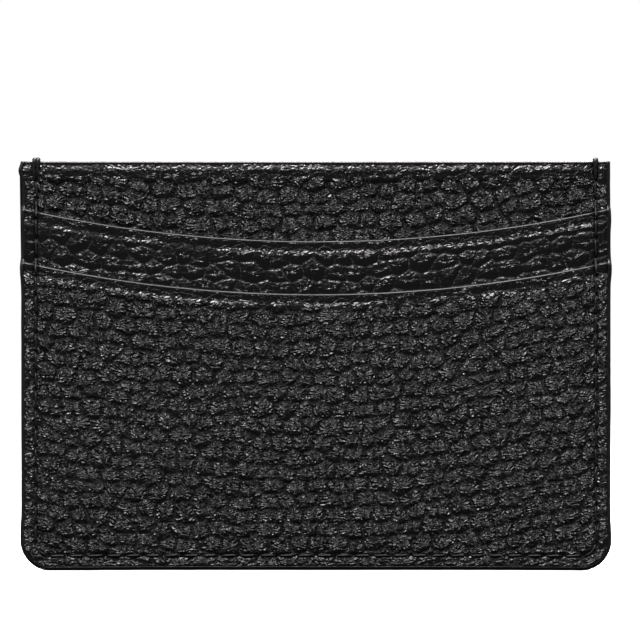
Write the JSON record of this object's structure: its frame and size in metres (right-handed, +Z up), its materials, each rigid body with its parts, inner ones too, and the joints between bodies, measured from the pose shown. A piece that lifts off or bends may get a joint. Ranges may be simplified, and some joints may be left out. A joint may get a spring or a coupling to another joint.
{
  "type": "card holder",
  "caption": "Flat leather card holder with an open centre pocket and curved-mouth card slots on both faces.",
  "frame": {"origin": "middle of the bottom edge, half way through the thickness", "axes": "+X along the width, to the right when looking at the front; -Y out of the front face; +Z up, towards the pocket mouths"},
  "size_m": [0.101, 0.0068, 0.0705],
  "materials": {
    "leather": "pebbled full-grain, semi-matt black with a soft sheen on the grain's tops",
    "lining": "fine black twill",
    "edge_paint": "smooth black edge paint, satin",
    "thread": "black bonded polyester thread"
  },
  "bodies": {
    "root": {"front_body_panel": "leather", "front_body_lining": "lining", "front_body_top_paint": "edge_paint", "front_upper_pocket_panel": "leather", "front_upper_pocket_lining": "lining", "front_upper_mouth_paint": "edge_paint", "front_card_stop_thread": "thread", "front_lower_pocket_panel": "leather", "front_lower_pocket_lining": "lining", "front_lower_mouth_paint": "edge_paint", "front_seam_thread": "thread", "back_body_panel": "leather", "back_body_lining": "lining", "back_body_top_paint": "edge_paint", "back_upper_pocket_panel": "leather", "back_upper_pocket_lining": "lining", "back_upper_mouth_paint": "edge_paint", "back_card_stop_thread": "thread", "back_lower_pocket_panel": "leather", "back_lower_pocket_lining": "lining", "back_lower_mouth_paint": "edge_paint", "back_seam_thread": "thread", "perimeter_edge_paint": "edge_paint", "left_seam_wrap": "thread", "right_seam_wrap": "thread"}
  },
  "joints": []
}
